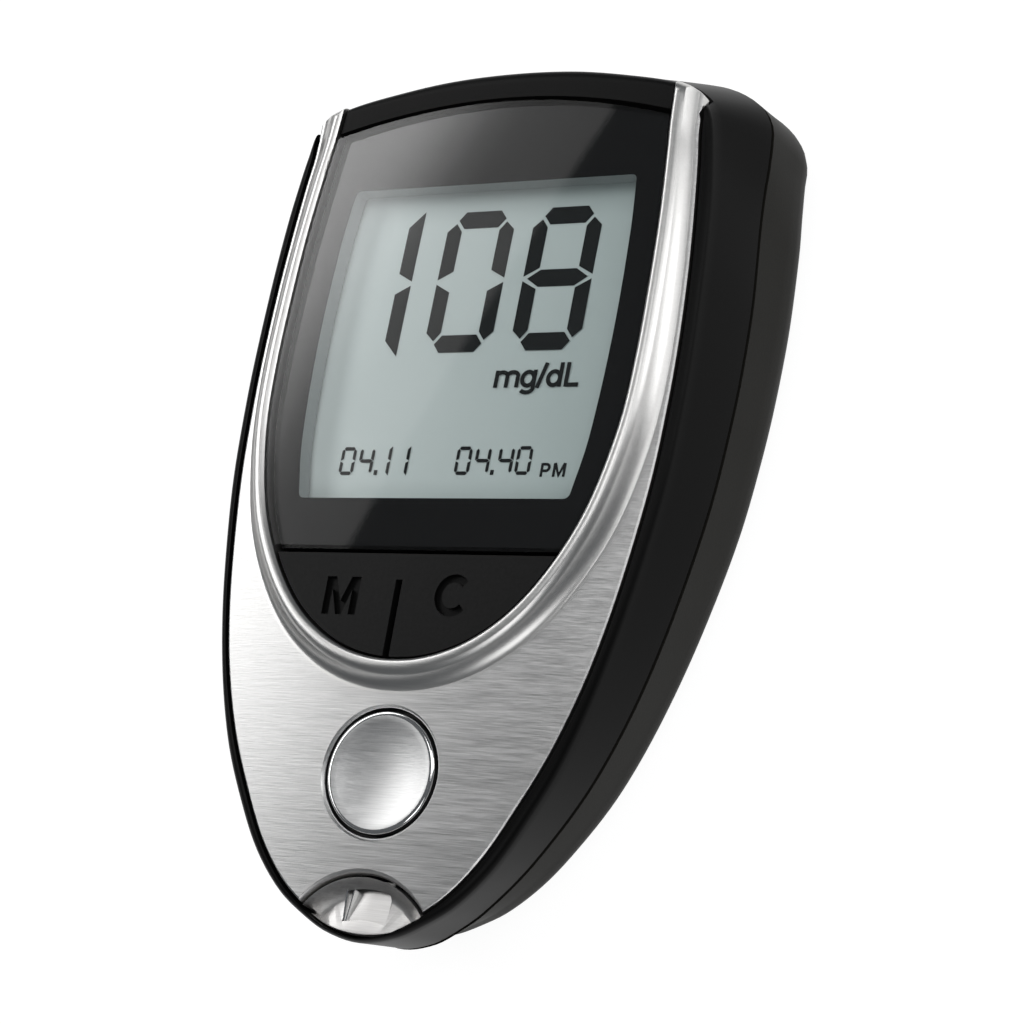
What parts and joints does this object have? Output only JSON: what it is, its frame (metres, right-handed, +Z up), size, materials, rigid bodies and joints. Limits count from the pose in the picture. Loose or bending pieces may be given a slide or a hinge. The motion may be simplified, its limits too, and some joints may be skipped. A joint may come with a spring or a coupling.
{
  "type": "blood glucose meter",
  "caption": "Hand-held blood glucose meter: black clamshell case, brushed metal face with raised rim, lens over a segment display, rocker key, round button and strip port at the tip",
  "frame": {"origin": "centre of the footprint, on the plane the flat back rests on", "axes": "+Y runs along the body from the strip tip to the display end, +X to the user's right when the face is up, +Z up out of the face"},
  "size_m": [0.0608, 0.1036, 0.0235],
  "materials": {
    "soft_touch_black": "satin soft-touch black",
    "brushed_aluminium": "brushed along the width, satin",
    "lens_gloss": "clear lens with a black printed border",
    "frame_black": "matt black",
    "display_grey": "grey-green reflective liquid crystal glass",
    "key_rubber": "satin black",
    "board_green": "solder mask",
    "button_metal": "brushed cap, polished edge",
    "contact_metal": "plated spring metal",
    "screw_steel": "zinc plated",
    "cell_jacket": "printed metal jacket"
  },
  "bodies": {
    "case": {"front_housing": "soft_touch_black", "rear_housing": "soft_touch_black", "face_plate": "brushed_aluminium", "strip_tray": "brushed_aluminium", "strip_guide": "brushed_aluminium", "display_lens": "lens_gloss", "display_frame": "frame_black", "display_glass": "display_grey", "contact_strip": "key_rubber", "main_board": "board_green", "switch_left": "frame_black", "switch_right": "frame_black", "switch_main": "frame_black", "strip_connector": "frame_black", "processor": "frame_black", "strip_pin_1": "contact_metal", "strip_pin_2": "contact_metal", "strip_pin_3": "contact_metal", "contact_pair": "contact_metal", "contact_left": "contact_metal", "contact_right": "contact_metal", "buzzer": "contact_metal", "screw_1": "screw_steel", "screw_2": "screw_steel", "screw_3": "screw_steel", "screw_4": "screw_steel", "cell_1": "cell_jacket", "cell_2": "cell_jacket"},
    "button": {"main_button": "button_metal"},
    "rocker": {"mode_key": "key_rubber"},
    "cover": {"battery_cover": "soft_touch_black"}
  },
  "joints": [
    {"name": "button_press", "type": "slide", "parent": "case", "child": "button", "axis": [0, 0.096, -0.9954], "range_m": [0, 0.0006], "stiffness_N_per_m": 1500, "springref_m": -0.0002},
    {"name": "rocker_tilt", "type": "hinge", "parent": "case", "child": "rocker", "pos_m": [0, -0.0158, 0.021], "axis": [0, 0.9991, 0.043], "range_deg": [-1.5, 1.5], "stiffness_Nm_per_rad": 0.35},
    {"name": "cover_hinge", "type": "hinge", "parent": "case", "child": "cover", "pos_m": [0, -0.01255, 0.00015], "axis": [-1, 0, 0], "range_deg": [0, 75]}
  ]
}
